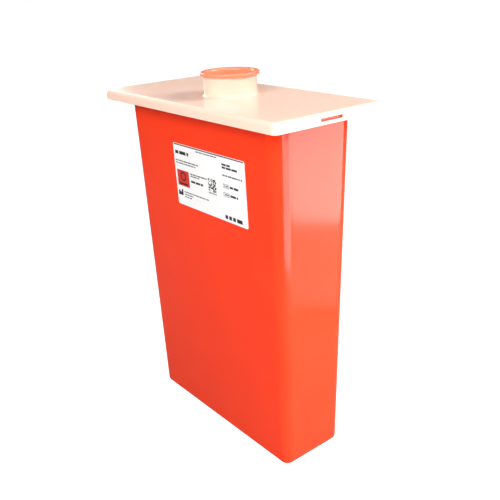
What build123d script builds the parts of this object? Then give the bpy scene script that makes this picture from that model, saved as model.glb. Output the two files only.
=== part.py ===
from build123d import *
from math import radians, tan
import os

# A tall, slim sharps container that holds about 11 litres, in millimetres.
#
# A drafted bin of injection-moulded polypropylene has a wide rim with a turned-down lip. A lid with a
# skirt fits over the rim, and a lock tab at each end shows in a window in the skirt. A round neck stands
# in the middle of the lid, and a push-in cap with a hollow top closes it. A label is stuck on the front.
#
# The origin is the centre of the foot on the floor. +X runs along the long side, -Y faces the labelled
# front and +Z is up. Every level on the lid and the cap is worked out from the rim's top face.

os.makedirs("parts", exist_ok=True)

# ---- bin -----------------------------------------------------------------------------------------
rim_height = 423.0  # floor to the rim's top face
mouth_length = 287.0  # outside of the walls, at the rim's top face
mouth_width = 109.5
mouth_corner = 20.5
draft = 1.5  # degrees, every wall leans in towards the foot
wall = 2.0
floor_thickness = 2.6
foot_fillet = 5.0
floor_fillet = 4.0  # inside, between the walls and the floor
foot_recess = 2.2  # how far the underside stands off the table
foot_land = 7.0  # flat width of the ring that the bin stands on
gate_radius = 2.5  # moulding gate, a stub in the middle of the underside
gate_height = 1.0

# ---- rim -----------------------------------------------------------------------------------------
flange_thickness = 2.0
lip_thickness = 1.8
lip_height = 8.5  # rim's top face to the lip's lower edge
rim_fillet = 1.6
gusset_thickness = 1.6
gusset_height = 5.0
gusset_pitch = 36.0  # the nearest even spacing to this is used

# ---- lid -----------------------------------------------------------------------------------------
lid_length = 324.0
lid_width = 150.5
lid_corner = 6.0
lid_thickness = 2.0  # plate and skirt
lid_height = 12.0  # top face to the skirt's lower edge
lid_fillet = 4.5
lid_edge_fillet = 0.8  # skirt's lower edge, outside
lid_root_fillet = 2.2  # inside, between the plate and the skirt
skirt_clearance = 1.0  # lip to skirt, each side
seal_depth = 8.0  # wall under the plate that reaches into the mouth
seal_thickness = 1.6
seal_clearance = 0.35

# ---- lock tabs and their windows -------------------------------------------------------------------
window_width = 31.0
window_height = 3.5
window_sill = 3.5  # skirt's lower edge to the window
tab_side_clearance = 0.8
tab_shoulder_clearance = 0.25
tab_face_clearance = 0.3  # tab to the inside of the skirt, so that the lid lifts straight off

# ---- neck and cap ----------------------------------------------------------------------------------
neck_radius = 30.6  # outside
neck_wall = 2.0
neck_height = 22.5  # above the lid's top face
neck_root_fillet = 3.0
neck_lip_fillet = 0.7
cap_flange_reach = 3.2  # past the outside of the neck
cap_flange_height = 4.0
cap_top_fillet = 1.7
cap_under_fillet = 0.8
cap_hollow_fillet = 3.2  # where the flange turns down into the hollow
cap_wall = 1.8
cap_hollow = 15.0  # depth of the hollow in the cap's top
cap_floor = 1.8
cap_clearance = 0.4  # plug wall to neck bore
cap_root_fillet = 1.2
bead_clearance = 0.1  # seal beads to neck bore
bead_radius = 0.9
bead_depths = (5.0, 10.0)  # below the flange

# ---- label -----------------------------------------------------------------------------------------
label_length = 135.0
label_height = 76.0
label_corner = 2.5
label_thickness = 0.2
label_right = 20.0  # label's centre, right of the bin's centre
label_drop = 79.5  # label's centre, below the skirt's lower edge

# ---- worked out --------------------------------------------------------------------------------------
slope = tan(radians(draft))
foot_length = mouth_length - 2 * rim_height * slope
foot_width = mouth_width - 2 * rim_height * slope

skirt_inside_length = lid_length - 2 * lid_thickness
skirt_inside_width = lid_width - 2 * lid_thickness
skirt_inside_corner = lid_corner - lid_thickness
rim_length = skirt_inside_length - 2 * skirt_clearance
rim_width = skirt_inside_width - 2 * skirt_clearance
rim_corner = skirt_inside_corner - skirt_clearance

lid_top = rim_height + lid_thickness
skirt_bottom = lid_top - lid_height
neck_top = lid_top + neck_height
neck_bore = neck_radius - neck_wall
window_middle = skirt_bottom + window_sill + window_height / 2


# ---- container body: the bin with its rim --------------------------------------------------------------
with BuildPart() as cavity:
    with BuildSketch(Plane.XY.offset(rim_height)):
        RectangleRounded(mouth_length - 2 * wall, mouth_width - 2 * wall, mouth_corner - wall)
    extrude(amount=-(rim_height - foot_recess - floor_thickness), taper=draft)
    fillet(cavity.edges().group_by(Axis.Z)[0], floor_fillet)

with BuildPart() as container_body:
    with BuildSketch(Plane.XY.offset(rim_height)):
        RectangleRounded(mouth_length, mouth_width, mouth_corner)
    extrude(amount=-rim_height, taper=draft)
    fillet(container_body.edges().group_by(Axis.Z)[0], foot_fillet)

    # Flange round the mouth, then the lip that turns down from its edge.
    with BuildSketch(Plane.XY.offset(rim_height)):
        RectangleRounded(rim_length, rim_width, rim_corner)
    extrude(amount=-flange_thickness)
    with BuildSketch(Plane.XY.offset(rim_height)) as lip:
        RectangleRounded(rim_length, rim_width, rim_corner)
        offset(amount=-lip_thickness, mode=Mode.SUBTRACT)
    extrude(amount=-lip_height)
    fillet(container_body.edges().group_by(Axis.Z)[-1], rim_fillet)

    # Gussets under the flange join the walls to the lip. Each row is laid out along one side of the rim.
    for straight, across, rim, turn in (
        (mouth_length - 2 * mouth_corner, mouth_width, rim_width, 0),
        (mouth_width - 2 * mouth_corner, mouth_length, rim_length, 90),
    ):
        steps = max(1, round(straight / gusset_pitch))
        start = (across - wall) / 2
        end = (rim - lip_thickness) / 2
        for facing in (turn, turn + 180):
            side = Plane.XY.offset(rim_height - flange_thickness).rotated((0, 0, facing))
            with BuildSketch(side):
                with Locations((0, (start + end) / 2)):
                    with GridLocations(straight / steps, 0, steps + 1, 1):
                        Rectangle(gusset_thickness, end - start)
            extrude(amount=-gusset_height)

    # Lock tab on each end face of the lip: a flat shoulder below and a ramp above.
    tab_reach = skirt_clearance - tab_face_clearance
    shoulder = -window_height / 2 + tab_shoulder_clearance
    for end in (1, -1):
        lip_edge = Plane(
            origin=(end * rim_length / 2, 0, window_middle),
            x_dir=(end, 0, 0),
            z_dir=(0, -end, 0),
        )
        with BuildSketch(lip_edge):
            with BuildLine():
                Polyline(
                    (-lip_thickness / 2, shoulder),
                    (tab_reach, shoulder),
                    (tab_reach, 0),
                    (0, -shoulder),
                    (-lip_thickness / 2, -shoulder),
                    close=True,
                )
            make_face()
        extrude(amount=window_width / 2 - tab_side_clearance, both=True)

    add(cavity.part, mode=Mode.SUBTRACT)

    # Underside: a recess leaves the standing ring, with the stub of the moulding gate in its middle.
    with BuildSketch(Plane.XY):
        inset = foot_fillet + foot_land
        RectangleRounded(foot_length - 2 * inset, foot_width - 2 * inset, mouth_corner / 2)
    extrude(amount=foot_recess, mode=Mode.SUBTRACT)
    with BuildSketch(Plane.XY.offset(foot_recess)):
        Circle(gate_radius)
    extrude(amount=-gate_height)

# ---- lid: plate, skirt, seal wall and neck ---------------------------------------------------------------
with BuildPart() as skirt_inside:
    with BuildSketch(Plane.XY.offset(rim_height)):
        RectangleRounded(skirt_inside_length, skirt_inside_width, skirt_inside_corner)
    extrude(amount=-(lid_height - lid_thickness))
    fillet(skirt_inside.edges().group_by(Axis.Z)[-1], lid_root_fillet)

with BuildPart() as lid:
    with BuildSketch(Plane.XY.offset(lid_top)):
        RectangleRounded(lid_length, lid_width, lid_corner)
    extrude(amount=-lid_height)
    fillet(lid.edges().group_by(Axis.Z)[-1], lid_fillet)
    fillet(lid.edges().group_by(Axis.Z)[0], lid_edge_fillet)
    add(skirt_inside.part, mode=Mode.SUBTRACT)

    # Seal wall, drafted like the mouth that it reaches into.
    for inset, mode in (
        (wall + seal_clearance, Mode.ADD),
        (wall + seal_clearance + seal_thickness, Mode.SUBTRACT),
    ):
        with BuildSketch(Plane.XY.offset(rim_height)):
            RectangleRounded(mouth_length - 2 * inset, mouth_width - 2 * inset, mouth_corner - inset)
        extrude(amount=-seal_depth, taper=draft, mode=mode)

    # Neck, rounded into the plate, with its bore right through.
    with BuildSketch(Plane.XY.offset(lid_top)):
        Circle(neck_radius)
    extrude(amount=neck_height)
    neck_circles = lid.edges().filter_by(GeomType.CIRCLE).group_by(SortBy.RADIUS)[-1]
    fillet(neck_circles.sort_by(Axis.Z)[0], neck_root_fillet)
    with BuildSketch(Plane.XY.offset(neck_top)):
        Circle(neck_bore)
    extrude(amount=-(neck_height + lid_thickness), mode=Mode.SUBTRACT)
    fillet(lid.edges().group_by(Axis.Z)[-1], neck_lip_fillet)

    # Windows for the lock tabs, through both ends of the skirt.
    for end_plane, inward in ((Plane.YZ.offset(lid_length / 2), -1), (Plane.YZ.offset(-lid_length / 2), 1)):
        with BuildSketch(end_plane):
            with Locations((0, window_middle)):
                RectangleRounded(window_width, window_height, window_height / 4)
        extrude(amount=inward * (lid_thickness + skirt_clearance / 2), mode=Mode.SUBTRACT)

# ---- neck cap: flange, plug wall with two seal beads, hollow top -------------------------------------------
plug_radius = neck_bore - cap_clearance
hollow_radius = plug_radius - cap_wall
cap_top = neck_top + cap_flange_height
hollow_floor = cap_top - cap_hollow

with BuildPart() as neck_cap:
    with BuildSketch(Plane.XY.offset(neck_top)):
        Circle(neck_radius + cap_flange_reach)
    extrude(amount=cap_flange_height)
    fillet(neck_cap.edges().group_by(Axis.Z)[-1], cap_top_fillet)
    fillet(neck_cap.edges().group_by(Axis.Z)[0], cap_under_fillet)
    with BuildSketch(Plane.XY.offset(neck_top)):
        Circle(plug_radius)
    extrude(amount=-(neck_top - hollow_floor + cap_floor))
    fillet(neck_cap.edges().group_by(Axis.Z)[0], cap_root_fillet)
    with BuildSketch(Plane.XY.offset(cap_top)):
        Circle(hollow_radius)
    extrude(amount=-cap_hollow, mode=Mode.SUBTRACT)
    fillet(neck_cap.edges().group_by(Axis.Z)[-1].sort_by(SortBy.RADIUS)[0], cap_hollow_fillet)
    with BuildSketch(Plane.XZ):
        for depth in bead_depths:
            with Locations((neck_bore - bead_clearance - bead_radius, neck_top - depth)):
                Circle(bead_radius)
    revolve(axis=Axis.Z)

# ---- front label -------------------------------------------------------------------------------------------
label_level = skirt_bottom - label_drop
label_plane = Plane(
    origin=(label_right, (rim_height - label_level) * slope - mouth_width / 2, label_level),
    x_dir=(1, 0, 0),
    z_dir=(0, -1, -slope),
)
with BuildPart() as front_label:
    with BuildSketch(label_plane):
        RectangleRounded(label_length, label_height, label_corner)
    extrude(amount=label_thickness)

# ---- write ---------------------------------------------------------------------------------------------------
container_body.part.label = "container_body"
export_step(container_body.part, "parts/container_body.step")
lid.part.label = "lid"
export_step(lid.part, "parts/lid.step")
neck_cap.part.label = "neck_cap"
export_step(neck_cap.part, "parts/neck_cap.step")
front_label.part.label = "front_label"
export_step(front_label.part, "parts/front_label.step")
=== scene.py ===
# %% [markdown]
# # A slim sharps container
#
# A sharps container is a tall red bin with a wide pale lid. Used needles drop in through the round neck,
# and a push-in cap closes it. This notebook gives the CAD model its finishes: dyed translucent plastic,
# natural plastic, and a printed label. Lengths are in metres. The labelled front faces -Y and +Z is up.
#
# The frame holds the CAD parts. They are right in shape already, so they stay, and each gets a material.
# What CAD leaves out, which is the ink on the label, is modelled here and rides on the same body.

# %% Load the frame
import math
import random

import bmesh
import bpy
from mathutils import Matrix, Vector


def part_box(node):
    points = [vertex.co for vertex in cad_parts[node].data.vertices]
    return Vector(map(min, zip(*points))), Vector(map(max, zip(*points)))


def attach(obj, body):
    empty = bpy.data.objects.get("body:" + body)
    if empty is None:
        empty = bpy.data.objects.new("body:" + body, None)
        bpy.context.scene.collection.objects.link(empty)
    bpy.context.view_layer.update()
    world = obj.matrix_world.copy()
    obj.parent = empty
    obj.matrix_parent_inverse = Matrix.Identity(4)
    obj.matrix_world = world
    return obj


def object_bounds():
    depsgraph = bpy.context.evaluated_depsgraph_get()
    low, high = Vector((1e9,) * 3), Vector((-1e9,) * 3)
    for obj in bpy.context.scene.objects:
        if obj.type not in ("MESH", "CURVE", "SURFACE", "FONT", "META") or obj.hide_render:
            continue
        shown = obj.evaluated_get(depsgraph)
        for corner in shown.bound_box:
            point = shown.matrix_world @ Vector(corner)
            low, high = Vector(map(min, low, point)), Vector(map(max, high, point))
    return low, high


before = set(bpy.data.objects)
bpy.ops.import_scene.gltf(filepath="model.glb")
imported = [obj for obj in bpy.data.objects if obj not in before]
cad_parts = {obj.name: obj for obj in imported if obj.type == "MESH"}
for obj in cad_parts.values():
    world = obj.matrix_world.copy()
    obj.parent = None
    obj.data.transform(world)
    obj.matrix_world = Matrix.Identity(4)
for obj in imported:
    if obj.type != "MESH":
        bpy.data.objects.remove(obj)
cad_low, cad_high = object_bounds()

MM = 0.001
bin_low, bin_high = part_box("container_body")
lid_low, lid_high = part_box("lid")
label_low, label_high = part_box("front_label")
print("whole object, m:", [round(v, 4) for v in cad_high - cad_low])
print("bin, mm:", [round(v / MM, 1) for v in bin_high - bin_low])
print("lid with its neck, mm:", [round(v / MM, 1) for v in lid_high - lid_low])

# %% [markdown]
# ## How the materials are wired
#
# Every finish below is a Principled shader with noise textures behind it. Adding and linking nodes one
# at a time is long-winded, so two small helpers do it. `add` makes a node and sets its inputs by name,
# and `link` joins two sockets. Numbers that are the same all over a surface are set on the shader itself.


# %% Node helpers
def add(tree, kind, label="", inputs=None, **settings):
    """A new node of that kind. inputs are its sockets' values by name, settings its own properties."""
    node = tree.nodes.new(kind)
    node.label = label
    for key, value in settings.items():
        setattr(node, key, value)
    for key, value in (inputs or {}).items():
        node.inputs[key].default_value = value
    return node


def link(tree, source, target):
    """Joins an output socket to an input socket."""
    tree.links.new(source, target)


def blank_material(name, **values):
    """A material with one Principled shader, whose sockets take the given values by name."""
    material = bpy.data.materials.new(name)
    material.use_nodes = True
    tree = material.node_tree
    tree.nodes.clear()
    shader = add(tree, "ShaderNodeBsdfPrincipled", inputs=values)
    output = add(tree, "ShaderNodeOutputMaterial")
    link(tree, shader.outputs["BSDF"], output.inputs["Surface"])
    return material, tree, shader


def place_group(tree, group, **values):
    """A copy of a shared node group in this material, with its own values."""
    node = add(tree, "ShaderNodeGroup", label=group.name, node_tree=group)
    for key, value in values.items():
        node.inputs[key.replace("_", " ").capitalize()].default_value = value
    return node


def new_group(name, inputs, outputs):
    """An empty shader node group. inputs and outputs are (name, socket type, value or None) rows."""
    group = bpy.data.node_groups.new(name, "ShaderNodeTree")
    for label, kind, value in inputs:
        socket = group.interface.new_socket(label, in_out="INPUT", socket_type=kind)
        if value is not None:
            socket.default_value = value
    for label, kind, _ in outputs:
        group.interface.new_socket(label, in_out="OUTPUT", socket_type=kind)
    start = add(group, "NodeGroupInput")
    end = add(group, "NodeGroupOutput")
    return group, start, end


FLOAT = "NodeSocketFloat"
COLOUR = "NodeSocketColor"

# %% [markdown]
# ## Moulded skin
#
# Injection-moulded polypropylene is smooth but never a perfect mirror. The steel mould leaves a faint
# grain of about half a millimetre, and the plastic shrinks unevenly as it cools, which leaves shallow
# waves a few centimetres across that bend the reflections. Both could be modelled as geometry, but they
# are far too shallow for that. They are heights for a Bump node, from two noise textures on the part's
# own coordinates, so they keep their real size on every part.


# %% The moulded skin group
def make_moulded_skin():
    """Grain and sink waves as one height in metres, and a slow mottling of the colour from 0 to 1."""
    group, start, end = new_group(
        "moulded skin",
        [("Grain size", FLOAT, 0.5 * MM), ("Grain depth", FLOAT, 0.01 * MM),
         ("Wave size", FLOAT, 60 * MM), ("Wave depth", FLOAT, 0.1 * MM)],
        [("Height", FLOAT, None), ("Mottle", FLOAT, None)],
    )
    place = add(group, "ShaderNodeTexCoord")
    layers = []
    for size, depth, detail in (("Grain size", "Grain depth", 2.0), ("Wave size", "Wave depth", 1.0)):
        per_metre = add(group, "ShaderNodeMath", operation="DIVIDE", inputs={0: 1.0})
        link(group, start.outputs[size], per_metre.inputs[1])
        noise = add(group, "ShaderNodeTexNoise", label=size, inputs={"Detail": detail, "Roughness": 0.5})
        link(group, place.outputs["Object"], noise.inputs["Vector"])
        link(group, per_metre.outputs[0], noise.inputs["Scale"])
        height = add(group, "ShaderNodeMath", operation="MULTIPLY")
        link(group, noise.outputs["Fac"], height.inputs[0])
        link(group, start.outputs[depth], height.inputs[1])
        layers.append((noise, height))
    total = add(group, "ShaderNodeMath", operation="ADD")
    for slot, (_, height) in enumerate(layers):
        link(group, height.outputs[0], total.inputs[slot])
    link(group, total.outputs[0], end.inputs["Height"])
    link(group, layers[1][0].outputs["Fac"], end.inputs["Mottle"])
    return group


moulded_skin = make_moulded_skin()
print("built group:", moulded_skin.name)

# %% [markdown]
# ## Handling scuffs
#
# A container that has been stacked, carried and slid along a bench has fine hairline scratches. A scratch
# is long and thin, so a noise texture is stretched along one direction and only its peaks are kept. Two
# such layers at different angles look like the random work of many hands. A cloudy mask keeps them in
# patches, because nobody scuffs a bin evenly.


# %% The scuffs group
STROKE_TILTS = (math.radians(24), math.radians(-57))  # two slants, so that strokes cross
SIDE_LEAN = 0.7  # share of a tilt that is also taken about Y, so that strokes slant on every wall
STROKE_TURN = 0.4  # radians about Z, the same for both layers
STROKE_PEAKS = (0.66, 0.74)  # only noise above this range is a scratch
PATCHES_PER_METRE = 9.0
PATCH_EDGE = (0.42, 0.68)  # noise from bare to fully scuffed, which makes the patches' soft edges


def make_scuffs():
    """A mask from 0 on clean plastic to 1 on a scratch."""
    group, start, end = new_group(
        "handling scuffs",
        [("Length", FLOAT, 30 * MM), ("Spacing", FLOAT, 1.5 * MM), ("Amount", FLOAT, 0.5)],
        [("Mask", FLOAT, None)],
    )
    place = add(group, "ShaderNodeTexCoord")
    along = add(group, "ShaderNodeMath", operation="DIVIDE", inputs={0: 1.0})
    across = add(group, "ShaderNodeMath", operation="DIVIDE", inputs={0: 1.0})
    link(group, start.outputs["Length"], along.inputs[1])
    link(group, start.outputs["Spacing"], across.inputs[1])
    stretch = add(group, "ShaderNodeCombineXYZ")
    for axis, source in (("X", along), ("Y", along), ("Z", across)):
        link(group, source.outputs[0], stretch.inputs[axis])
    strokes = []
    for tilt in STROKE_TILTS:
        turned = add(group, "ShaderNodeVectorRotate", rotation_type="EULER_XYZ",
                     inputs={"Rotation": (tilt, tilt * SIDE_LEAN, STROKE_TURN)})
        scaled = add(group, "ShaderNodeVectorMath", operation="MULTIPLY")
        noise = add(group, "ShaderNodeTexNoise", inputs={"Scale": 1.0, "Detail": 1.0})
        peaks = add(group, "ShaderNodeMapRange",
                    inputs={"From Min": STROKE_PEAKS[0], "From Max": STROKE_PEAKS[1]})
        link(group, place.outputs["Object"], turned.inputs["Vector"])
        link(group, turned.outputs["Vector"], scaled.inputs[0])
        link(group, stretch.outputs["Vector"], scaled.inputs[1])
        link(group, scaled.outputs["Vector"], noise.inputs["Vector"])
        link(group, noise.outputs["Fac"], peaks.inputs["Value"])
        strokes.append(peaks)
    either = add(group, "ShaderNodeMath", operation="MAXIMUM")
    for slot, peaks in enumerate(strokes):
        link(group, peaks.outputs["Result"], either.inputs[slot])
    cloud = add(group, "ShaderNodeTexNoise", label="patches",
                inputs={"Scale": PATCHES_PER_METRE, "Detail": 2.0})
    patches = add(group, "ShaderNodeMapRange", inputs={"From Min": PATCH_EDGE[0], "From Max": PATCH_EDGE[1]})
    inside = add(group, "ShaderNodeMath", operation="MULTIPLY")
    amount = add(group, "ShaderNodeMath", operation="MULTIPLY")
    link(group, place.outputs["Object"], cloud.inputs["Vector"])
    link(group, cloud.outputs["Fac"], patches.inputs["Value"])
    link(group, either.outputs[0], inside.inputs[0])
    link(group, patches.outputs["Result"], inside.inputs[1])
    link(group, inside.outputs[0], amount.inputs[0])
    link(group, start.outputs["Amount"], amount.inputs[1])
    link(group, amount.outputs[0], end.inputs["Mask"])
    return group


handling_scuffs = make_scuffs()
print("built group:", handling_scuffs.name)

# %% [markdown]
# ## Foot wear
#
# The bin slides about on its foot, so the last few millimetres above the bench are rubbed matt and pale,
# and the rubbing fades out upwards. The height above the bench is simply the Z of the part's coordinates,
# and noise breaks up the edge of the worn band.


# %% The foot wear group
WEAR_SPECKS_PER_METRE = 160.0  # specks of about 6 mm


def make_foot_wear():
    """A mask from 1 on the rubbed foot to 0 above it."""
    group, start, end = new_group(
        "foot wear",
        [("Top", FLOAT, 6 * MM), ("Amount", FLOAT, 0.5)],
        [("Mask", FLOAT, None)],
    )
    place = add(group, "ShaderNodeTexCoord")
    height = add(group, "ShaderNodeSeparateXYZ")
    noise = add(group, "ShaderNodeTexNoise", inputs={"Scale": WEAR_SPECKS_PER_METRE, "Detail": 4.0})
    fade = add(group, "ShaderNodeMapRange", inputs={"From Min": 0.0, "To Min": 1.0, "To Max": 0.0})
    ragged = add(group, "ShaderNodeMath", operation="MULTIPLY")
    amount = add(group, "ShaderNodeMath", operation="MULTIPLY")
    link(group, place.outputs["Object"], height.inputs["Vector"])
    link(group, place.outputs["Object"], noise.inputs["Vector"])
    link(group, height.outputs["Z"], fade.inputs["Value"])
    link(group, start.outputs["Top"], fade.inputs["From Max"])
    link(group, fade.outputs["Result"], ragged.inputs[0])
    link(group, noise.outputs["Fac"], ragged.inputs[1])
    link(group, ragged.outputs[0], amount.inputs[0])
    link(group, start.outputs["Amount"], amount.inputs[1])
    link(group, amount.outputs[0], end.inputs["Mask"])
    return group


foot_wear = make_foot_wear()
print("built group:", foot_wear.name)

# %% [markdown]
# ## Plastic finishes
#
# All three plastic parts are the same material with different colours, so one function makes them. The bin
# and the cap are dyed red. The lid is natural plastic, and its peach colours are painted light: the red glow
# that the bin sends up through it is painted into them. The colour drifts a little between a thin and a
# thick shade with the mottling, because more light comes through where the wall is thinner. Scuffs and wear
# lighten it and roughen it. Light also spreads a few millimetres inside the plastic, which Subsurface gives:
# it softens the shading at the rounded corners.
# Red light goes deepest, so Subsurface Radius has a share of that distance for each of red, green and blue.

# %% A moulded plastic
SPREAD_DEPTH = 3 * MM
SPREAD_BY_COLOUR = (1.0, 0.35, 0.2)
ROUGHER_WHERE_RUBBED = 0.3


def moulded_plastic(name, thick, thin, scuffed, roughness, scuffs, subsurface, shine, worn_foot=False):
    """Translucent polypropylene from its thick, thin and scuffed colours."""
    material, tree, shader = blank_material(
        name,
        IOR=1.49,
        **{"Specular IOR Level": shine, "Subsurface Weight": subsurface, "Subsurface Scale": SPREAD_DEPTH,
           "Subsurface Radius": SPREAD_BY_COLOUR},
    )
    skin = place_group(tree, moulded_skin, grain_size=0.45 * MM, grain_depth=0.002 * MM,
                       wave_size=55 * MM, wave_depth=0.12 * MM)
    scratch = place_group(tree, handling_scuffs, length=26 * MM, spacing=1.1 * MM, amount=scuffs)
    marks = scratch.outputs["Mask"]
    if worn_foot:
        foot = place_group(tree, foot_wear, top=5 * MM, amount=0.8)
        both = add(tree, "ShaderNodeMath", operation="MAXIMUM")
        link(tree, marks, both.inputs[0])
        link(tree, foot.outputs["Mask"], both.inputs[1])
        marks = both.outputs[0]
    shade = add(tree, "ShaderNodeMix", data_type="RGBA", label="wall thickness")
    shade.inputs["A"].default_value = (*thick, 1)
    shade.inputs["B"].default_value = (*thin, 1)
    rubbed = add(tree, "ShaderNodeMix", data_type="RGBA", label="scuffs lighten the dye")
    rubbed.inputs["B"].default_value = (*scuffed, 1)
    gloss = add(tree, "ShaderNodeMapRange",
                inputs={"To Min": roughness, "To Max": roughness + ROUGHER_WHERE_RUBBED})
    bump = add(tree, "ShaderNodeBump", inputs={"Strength": 1.0, "Distance": 1.0})
    link(tree, skin.outputs["Mottle"], shade.inputs["Factor"])
    link(tree, shade.outputs["Result"], rubbed.inputs["A"])
    link(tree, marks, rubbed.inputs["Factor"])
    link(tree, marks, gloss.inputs["Value"])
    link(tree, skin.outputs["Height"], bump.inputs["Height"])
    link(tree, rubbed.outputs["Result"], shader.inputs["Base Color"])
    link(tree, gloss.outputs["Result"], shader.inputs["Roughness"])
    link(tree, bump.outputs["Normal"], shader.inputs["Normal"])
    return material


# %% The bin, lid and cap plastics
red_bin_plastic = moulded_plastic(
    "red bin plastic", thick=(0.90, 0.040, 0.006), thin=(0.93, 0.048, 0.009), scuffed=(0.95, 0.09, 0.05),
    roughness=0.15, scuffs=0.18, subsurface=0.15, shine=0.4, worn_foot=True)
# The lid's thick, thin and scuffed colours are painted light: its plastic is near white, and the peach is the
# bin's red glow painted in.
lid_plastic_painted_glow = moulded_plastic(
    "lid plastic with painted red glow", thick=(0.94, 0.61, 0.475), thin=(0.96, 0.66, 0.54), scuffed=(0.96, 0.72, 0.60),
    roughness=0.24, scuffs=0.15, subsurface=0.2, shine=0.4)
red_cap_plastic = moulded_plastic(
    "red cap plastic", thick=(0.92, 0.25, 0.13), thin=(0.95, 0.29, 0.16), scuffed=(0.96, 0.38, 0.25),
    roughness=0.18, scuffs=0.15, subsurface=0.2, shine=0.4)


def finish_part(node, material):
    """Gives a CAD part one material. Its mesh and its shading stay as the frame made them."""
    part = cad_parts[node]
    part.data.materials.clear()
    part.data.materials.append(material)
    return part


for node, material in (("container_body", red_bin_plastic), ("lid", lid_plastic_painted_glow),
                       ("neck_cap", red_cap_plastic)):
    finish_part(node, material)
    print(node, "is finished in", material.name)

# %% [markdown]
# ## The label
#
# The label is white polypropylene film with a satin varnish. Film is flat and even, so its only detail is
# the faint texture that the varnish leaves and slight ripples from being smoothed on by hand. The same
# skin group makes both, with a finer grain and a longer wave than on the moulded parts.


# %% Label film and ink
INK_UNEVENNESS = 0.06  # how much darker the darkest patch is than the plain colour
VARNISH_SMOOTHER = 0.05  # how far the roughness falls and rises over the mottling
VARNISH_ROUGHER = 0.08


def printed_film(name, colour, roughness):
    """Varnished film, or the ink printed on it, in one colour with a trace of unevenness."""
    material, tree, shader = blank_material(name, IOR=1.45)
    skin = place_group(tree, moulded_skin, grain_size=0.25 * MM, grain_depth=0.001 * MM,
                       wave_size=30 * MM, wave_depth=0.03 * MM)
    tone = add(tree, "ShaderNodeMix", data_type="RGBA", label="uneven ink")
    tone.inputs["A"].default_value = (*[c * (1 - INK_UNEVENNESS) for c in colour], 1)
    tone.inputs["B"].default_value = (*colour, 1)
    gloss = add(tree, "ShaderNodeMapRange",
                inputs={"To Min": roughness - VARNISH_SMOOTHER, "To Max": roughness + VARNISH_ROUGHER})
    bump = add(tree, "ShaderNodeBump", inputs={"Strength": 1.0, "Distance": 1.0})
    link(tree, skin.outputs["Mottle"], tone.inputs["Factor"])
    link(tree, skin.outputs["Mottle"], gloss.inputs["Value"])
    link(tree, skin.outputs["Height"], bump.inputs["Height"])
    link(tree, tone.outputs["Result"], shader.inputs["Base Color"])
    link(tree, gloss.outputs["Result"], shader.inputs["Roughness"])
    link(tree, bump.outputs["Normal"], shader.inputs["Normal"])
    return material


white_film = printed_film("white label film", (0.90, 0.90, 0.89), 0.38)
black_ink = printed_film("black label ink", (0.015, 0.014, 0.016), 0.42)
grey_ink = printed_film("grey label ink", (0.09, 0.09, 0.10), 0.42)
red_ink = printed_film("red label ink", (0.62, 0.035, 0.02), 0.42)
finish_part("front_label", white_film)
print("label finishes:", ", ".join(m.name for m in (white_film, black_ink, grey_ink, red_ink)))

# %% [markdown]
# ## Ink on the label
#
# A printed label is usually an image texture. Here each mark is a thin piece of mesh that lies on the
# film, which stays sharp at any distance and needs no picture file. The marks carry no words: lines of
# small print become rows of dashes of uneven length, headings become heavier dashes, and the square code
# is a random pattern that means nothing.
#
# `on_label` turns a place on the label into a point in space. It counts across from the left edge and
# down from the top edge, both from 0 to 1, and follows the lean of the bin's front wall.

# %% Places on the label
FILM = 0.2 * MM
INK = 0.03 * MM
INK_BASE = 0.2  # share of the ink's thickness where a plate starts, so that it shares no plane with the film
OVERPRINT = 1.2  # rise of a second layer of ink over the first, as a share of the ink's thickness
LETTER_SHAPE = 0.55  # width of a letter as a share of its height
WORD_GAP = 0.9  # space between words as a share of a letter's width
label_width = label_high.x - label_low.x
top_left = Vector((label_low.x, label_low.y, label_high.z))
down_label = Vector((0, label_high.y - FILM - label_low.y, label_low.z - label_high.z))
label_tall = down_label.length
out_of_label = Vector((1, 0, 0)).cross(down_label).normalized() * -1
print("label, mm:", round(label_width / MM, 1), "by", round(label_tall / MM, 1))


def on_label(across, down, raised=0.0):
    """The point at that share of the label's width and height, raised off its face by that many metres."""
    return top_left + Vector((across * label_width, 0, 0)) + down_label * down + out_of_label * raised


# %% Drawing in ink
def ink_shape(mesh, outline):
    """A flat plate of ink with that outline, a list of (across, down) places."""
    bottom = [mesh.verts.new(on_label(a, d, INK_BASE * INK)) for a, d in outline]
    top = [mesh.verts.new(on_label(a, d, INK)) for a, d in outline]
    mesh.faces.new(top)
    mesh.faces.new(bottom[::-1])
    for k in range(len(outline)):
        mesh.faces.new((bottom[k - 1], bottom[k], top[k], top[k - 1]))


def ink_bar(mesh, left, right, upper, lower):
    """A plain rectangle of ink."""
    ink_shape(mesh, [(left, lower), (right, lower), (right, upper), (left, upper)])


def ink_ring(mesh, across, down, radius, width, corners=40):
    """A ring of ink. radius and width are shares of the label's height."""
    squash = label_tall / label_width
    for k in range(corners):
        turn = [2 * math.pi * (k + step) / corners for step in (0, 1)]
        rim = [(across + radius * squash * math.cos(t), down + radius * math.sin(t)) for t in turn]
        hole = [(across + (radius - width) * squash * math.cos(t), down + (radius - width) * math.sin(t))
                for t in turn]
        ink_shape(mesh, [rim[1], rim[0], hole[0], hole[1]])


def ink_words(mesh, left, right, middle, height, seed, longest=9):
    """A row of dashes that stands for a line of print. Longer dashes stand for longer words."""
    draw = random.Random(seed)
    letter = height * LETTER_SHAPE * label_tall / label_width
    at = left
    while at < right - letter:
        word = min(draw.randint(2, longest) * letter, right - at)
        ink_bar(mesh, at, at + word, middle - height / 2, middle + height / 2)
        at += word + letter * WORD_GAP


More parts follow.
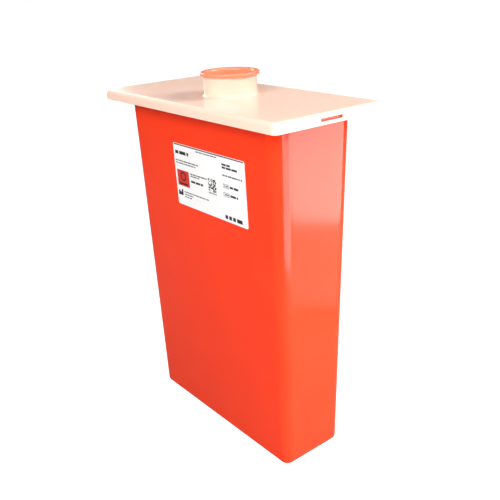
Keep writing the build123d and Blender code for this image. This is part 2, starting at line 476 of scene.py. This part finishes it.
def ink_piece(name, material, draw_marks):
    """One piece that holds all the marks that draw_marks makes."""
    mesh = bmesh.new()
    draw_marks(mesh)
    bmesh.ops.recalc_face_normals(mesh, faces=mesh.faces)
    data = bpy.data.meshes.new(name)
    mesh.to_mesh(data)
    mesh.free()
    data.materials.append(material)
    piece = bpy.data.objects.new(name, data)
    bpy.context.scene.collection.objects.link(piece)
    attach(piece, "bin")
    print(name, "has", len(data.polygons), "faces")
    return piece


# %% [markdown]
# The next cells lay out the marks. Every number in them is a share of the label's width or height, in the
# order left, right, middle (or upper, lower) and height. A seed picks the lengths of one row's dashes.


# %% Rules, headings and boxes in black
def black_marks(mesh):
    ink_bar(mesh, 0.015, 0.985, 0.008, 0.026)
    ink_words(mesh, 0.025, 0.225, 0.14, 0.052, seed=3, longest=7)
    ink_words(mesh, 0.70, 0.81, 0.13, 0.030, seed=5)
    ink_words(mesh, 0.70, 0.90, 0.175, 0.030, seed=8)
    ink_words(mesh, 0.23, 0.41, 0.56, 0.034, seed=13)
    ink_words(mesh, 0.79, 0.90, 0.45, 0.034, seed=21)
    ink_words(mesh, 0.79, 0.89, 0.58, 0.034, seed=34)
    ink_words(mesh, 0.70, 0.96, 0.93, 0.058, seed=55, longest=4)
    for upper in (0.42, 0.55):
        lower = upper + 0.06
        left = 0.70
        right = 0.78
        line = 0.007
        ink_bar(mesh, left, right, upper, upper + line)
        ink_bar(mesh, left, right, lower - line, lower)
        ink_bar(mesh, left, left + line / 2, upper + line, lower - line)
        ink_bar(mesh, right - line / 2, right, upper + line, lower - line)
    ink_shape(mesh, [(0.02, 0.84), (0.09, 0.84), (0.09, 0.74), (0.067, 0.74), (0.067, 0.785), (0.043, 0.785),
                     (0.043, 0.765), (0.02, 0.765)])


ink_piece("label_black_marks", black_ink, black_marks)


# %% Small print in grey
def grey_marks(mesh):
    rows = ((0.34, 0.64, 0.055, 0.018), (0.02, 0.36, 0.27, 0.020), (0.02, 0.32, 0.31, 0.020),
            (0.70, 0.96, 0.29, 0.022), (0.23, 0.47, 0.44, 0.020), (0.23, 0.36, 0.475, 0.020),
            (0.11, 0.48, 0.77, 0.018), (0.11, 0.25, 0.81, 0.018), (0.11, 0.22, 0.85, 0.018),
            (0.49, 0.60, 0.635, 0.016), (0.715, 0.77, 0.45, 0.020), (0.715, 0.77, 0.58, 0.020))
    for seed, (left, right, middle, height) in enumerate(rows):
        ink_words(mesh, left, right, middle, height, seed)


ink_piece("label_small_print", grey_ink, grey_marks)


# %% The square code
def code_marks(mesh):
    cells = 14
    left = 0.49
    upper = 0.41
    tall = 0.20
    cell = tall / cells
    wide = cell * label_tall / label_width
    draw = random.Random(7)
    for row in range(cells):
        for column in range(cells):
            if draw.random() < 0.5:
                across = left + column * wide
                down = upper + row * cell
                ink_bar(mesh, across, across + wide, down, down + cell)


ink_piece("label_square_code", black_ink, code_marks)


# %% [markdown]
# A red square holds a plain ring and a bar in place of a symbol. They are printed over the red, so they are
# raised by a little more than one layer of ink: two faces in one plane would flicker.


# %% The red square
def red_marks(mesh):
    ink_bar(mesh, 0.025, 0.205, 0.42, 0.68)


def square_marks(mesh):
    lift = OVERPRINT * INK
    before = len(mesh.verts)
    ink_ring(mesh, 0.115, 0.52, 0.075, 0.024)
    ink_bar(mesh, 0.05, 0.18, 0.630, 0.655)
    mesh.verts.ensure_lookup_table()
    for vertex in mesh.verts[before:]:
        vertex.co += out_of_label * lift


ink_piece("label_red_square", red_ink, red_marks)
ink_piece("label_square_mark", black_ink, square_marks)

# %% [markdown]
# ## The stage
#
# The bin stands on a plain white floor in a white room, which overexposes to pure white behind it. If the
# room really were that bright, its reflections would wash out the red. So the camera sees the room and
# the floor brighter than they light the object: a Light Path node tells the rays apart.


# %% Floor and room
ROOM_LIGHT = 0.2
FLOOR_LIFT = 0.98


def seen_brighter(tree, plain, seen):
    """A number that is seen for what the camera looks at directly, and plain for everything else."""
    rays = add(tree, "ShaderNodeLightPath")
    strength = add(tree, "ShaderNodeMapRange", inputs={"To Min": plain, "To Max": seen})
    link(tree, rays.outputs["Is Camera Ray"], strength.inputs["Value"])
    return strength.outputs["Result"]


def make_floor():
    """A wide floor just under the foot, which the camera sees as white."""
    half = 12.0
    gap = 0.2 * MM  # keeps the floor from flickering through the foot
    mesh = bmesh.new()
    corners = [mesh.verts.new((x * half, y * half, -gap)) for x, y in ((-1, -1), (1, -1), (1, 1), (-1, 1))]
    mesh.faces.new(corners)
    data = bpy.data.meshes.new("floor")
    mesh.to_mesh(data)
    mesh.free()
    floor = bpy.data.objects.new("floor", data)
    bpy.context.scene.collection.objects.link(floor)
    material, tree, shader = blank_material(
        "white floor", Roughness=0.9, **{"Base Color": (0.25, 0.25, 0.25, 1), "Emission Color": (1, 1, 1, 1)})
    link(tree, seen_brighter(tree, 0.0, FLOOR_LIFT), shader.inputs["Emission Strength"])
    data.materials.append(material)


def make_room():
    """An even white light from all round."""
    room = bpy.data.worlds.new("white room")
    bpy.context.scene.world = room
    room.use_nodes = True
    tree = room.node_tree
    tree.nodes.clear()
    light = add(tree, "ShaderNodeBackground", inputs={"Color": (1, 1, 1, 1)})
    output = add(tree, "ShaderNodeOutputWorld")
    link(tree, seen_brighter(tree, ROOM_LIGHT, 1.0), light.inputs["Strength"])
    link(tree, light.outputs["Background"], output.inputs["Surface"])


make_floor()
make_room()
print("room lights the object at", ROOM_LIGHT, "and the camera sees the floor lifted by", FLOOR_LIFT)

# %% [markdown]
# ## Lights
#
# Glossy plastic mirrors its lights, so a panel is placed for what it lights and also for where its
# reflection falls. Area lights suit both jobs: they are large, so shadows have soft edges, and they have a
# shape to reflect. To learn what each one does, switch them off one at a time and compare the renders.
#
# - The side panel makes the bright upper half of the end wall and touches almost nothing else. The side
#   glow hangs under it, much dimmer, and lifts the middle of the end wall. The wall mirrors the edge that
#   they share as a crisp line.
# - The low panel brightens the upright corner between the front and the end wall, most of all near its top.
# - The high panel, behind on the right, lights the lid's top and the right side of the neck. The neck
#   stands in its way, so the lid stays darker on the neck's left.
# - The front panel does most of the work on all that faces the front: bin, label, skirt, neck and cap.
# - The corner panel adds a little everywhere, and the top panel a little on the lid.
# - The left panel hardly shows from the front. It brightens the left-hand end, which is dark red without it.


# %% Soft panels
def soft_panel(name, middle, facing, width, height, radiance):
    """A rectangular light at middle that shines along facing. radiance is its brightness: 1 is white."""
    data = bpy.data.lights.new(name, "AREA")
    data.shape = "RECTANGLE"
    data.size = width
    data.size_y = height
    data.energy = radiance * math.pi * width * height
    panel = bpy.data.objects.new(name, data)
    panel.location = middle
    panel.rotation_euler = facing.to_track_quat("-Z", "Y").to_euler()
    panel.visible_camera = False
    bpy.context.scene.collection.objects.link(panel)


# %% Panels that the end wall and the corner mirror
side_width = 0.34
side_height = 0.19
glow_height = 0.15
end_side = Vector((0.774, 0.632, 0))  # the way that leads from the object out to the two side panels
side_edge = Vector((0.405, 0.2075, 0.168))  # middle of the level edge that these two panels share
side_middle = side_edge + Vector((0, 0, side_height / 2))
glow_middle = side_edge - Vector((0, 0, glow_height / 2))
low_middle = Vector((0.6, -0.08, 0.17))
to_the_left = Vector((-1, 0, 0))
soft_panel("side panel", side_middle, -end_side, side_width, side_height, radiance=5.7)
soft_panel("side glow", glow_middle, -end_side, side_width, glow_height, radiance=1.0)
soft_panel("low panel", low_middle, to_the_left, width=0.45, height=0.3, radiance=5.0)
print("side panels meet at a height of", side_edge.z, "m")

# %% Square panels that face the middle of the object
object_middle = (cad_low + cad_high) / 2
square_panels = (
    # name, middle, side of the square, radiance
    ("high panel", (0.82, 1.0, 1.15), 0.6, 21.0),
    ("corner panel", (1.3, -0.75, 0.7), 0.7, 2.5),
    ("front panel", (0.45, -1.15, 1.0), 0.8, 10.0),
    ("left panel", (-1.6, 0.2, 0.8), 1.0, 2.5),
    ("top panel", (0, 0, 1.8), 1.2, 1.0),
)
for name, middle, size, radiance in square_panels:
    middle = Vector(middle)
    soft_panel(name, middle, object_middle - middle, size, size, radiance)
print("square panels:", ", ".join(row[0] for row in square_panels))

# %% [markdown]
# ## Camera
#
# The camera looks down at the front right corner from about shoulder height. It is rolled a little, as a
# hand-held one is. Its place comes from an aim point inside the bin, a distance and two angles.

# %% Camera
AZIMUTH = math.radians(51.69)
ELEVATION = math.radians(22.11)
ROLL = math.radians(-2.44)
DISTANCE = 0.862
SENSOR_WIDTH = 36.0  # mm, a full-frame camera
FOCAL_LENGTH = 49.2  # mm
aim_point = Vector((0.0059, 0.0137, 0.2294))
back = Vector((math.sin(AZIMUTH) * math.cos(ELEVATION), -math.cos(AZIMUTH) * math.cos(ELEVATION),
               math.sin(ELEVATION)))
camera_data = bpy.data.cameras.new("camera")
camera_data.sensor_width = SENSOR_WIDTH
camera_data.lens = FOCAL_LENGTH
camera = bpy.data.objects.new("camera", camera_data)
upright = (-back).to_track_quat("-Z", "Y").to_matrix().to_4x4()
standing_back = Matrix.Translation(aim_point + back * DISTANCE)
camera.matrix_world = standing_back @ upright @ Matrix.Rotation(ROLL, 4, "Z")
bpy.context.scene.collection.objects.link(camera)
bpy.context.scene.camera = camera
bpy.context.scene.view_settings.view_transform = "Standard"
print("camera at", [round(v, 3) for v in camera.matrix_world.translation])
